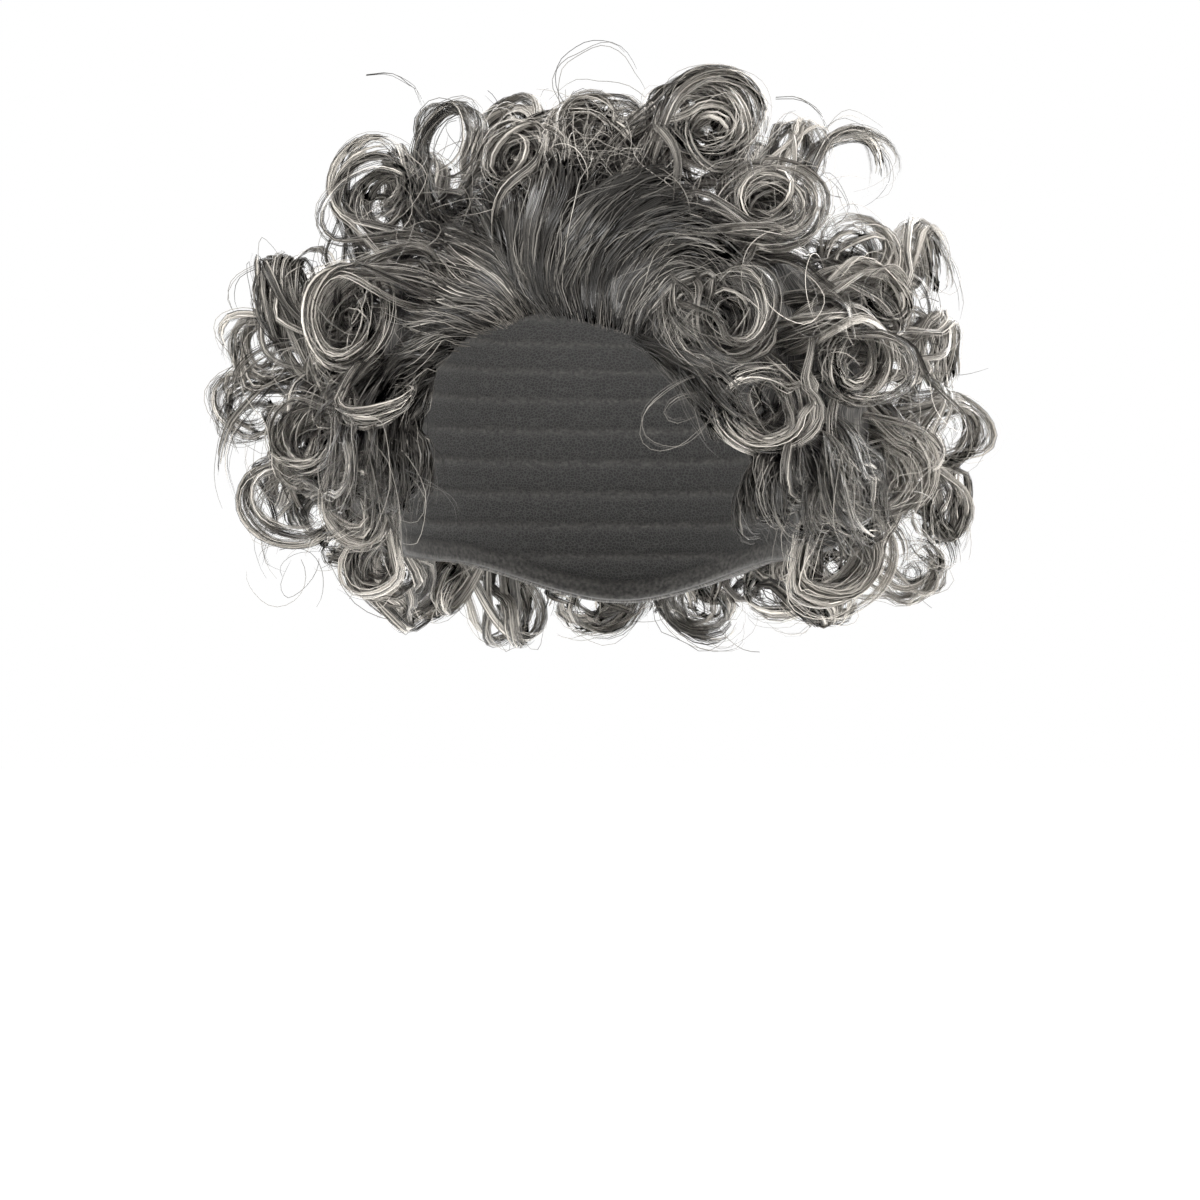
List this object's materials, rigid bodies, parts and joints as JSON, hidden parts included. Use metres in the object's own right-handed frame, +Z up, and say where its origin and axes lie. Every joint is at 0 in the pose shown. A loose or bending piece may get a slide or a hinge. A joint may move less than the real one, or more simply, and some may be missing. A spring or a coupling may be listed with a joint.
{
  "type": "curly wig",
  "caption": "Short grey curly wig: a thin head cap, open for the face and below, with a layer of combed hair over it and rolled curls standing on that layer.",
  "frame": {"origin": "where the top of the wearer's head bears on the inside of the cap", "axes": "+Z up, the wearer faces -Y, +X to the wearer's left"},
  "size_m": [0.2916, 0.2474, 0.2147],
  "materials": {
    "hair": "glossy grey synthetic hair, mixed light and dark strands",
    "cap": "matt charcoal stretch net with rows of sewn wefts"
  },
  "bodies": {
    "root": {"wig_cap": "cap", "combed_hair": "hair", "right_curl_1": "hair", "right_curl_2": "hair", "right_curl_3": "hair", "right_curl_4": "hair", "right_curl_5": "hair", "right_curl_6": "hair", "right_curl_7": "hair", "right_curl_8": "hair", "right_curl_9": "hair", "right_curl_10": "hair", "right_curl_11": "hair", "right_curl_12": "hair", "right_curl_13": "hair", "left_curl_1": "hair", "left_curl_2": "hair", "left_curl_3": "hair", "left_curl_4": "hair", "left_curl_5": "hair", "left_curl_6": "hair", "left_curl_7": "hair", "left_curl_8": "hair", "left_curl_9": "hair", "left_curl_10": "hair", "left_curl_11": "hair", "left_curl_12": "hair", "left_curl_13": "hair", "left_curl_14": "hair", "top_curl_1": "hair", "top_curl_2": "hair", "top_curl_3": "hair", "top_curl_4": "hair", "top_curl_5": "hair", "top_curl_6": "hair", "top_curl_7": "hair", "back_curl_1": "hair", "back_curl_2": "hair", "back_curl_3": "hair", "back_curl_4": "hair", "back_curl_5": "hair", "back_curl_6": "hair", "back_curl_7": "hair", "back_curl_8": "hair", "back_curl_9": "hair", "back_curl_10": "hair", "back_curl_11": "hair", "back_curl_12": "hair", "back_curl_13": "hair", "back_curl_14": "hair", "back_curl_15": "hair", "back_curl_16": "hair", "back_curl_17": "hair", "back_curl_18": "hair", "back_curl_19": "hair", "back_curl_20": "hair", "back_curl_21": "hair", "back_curl_22": "hair"}
  },
  "joints": []
}
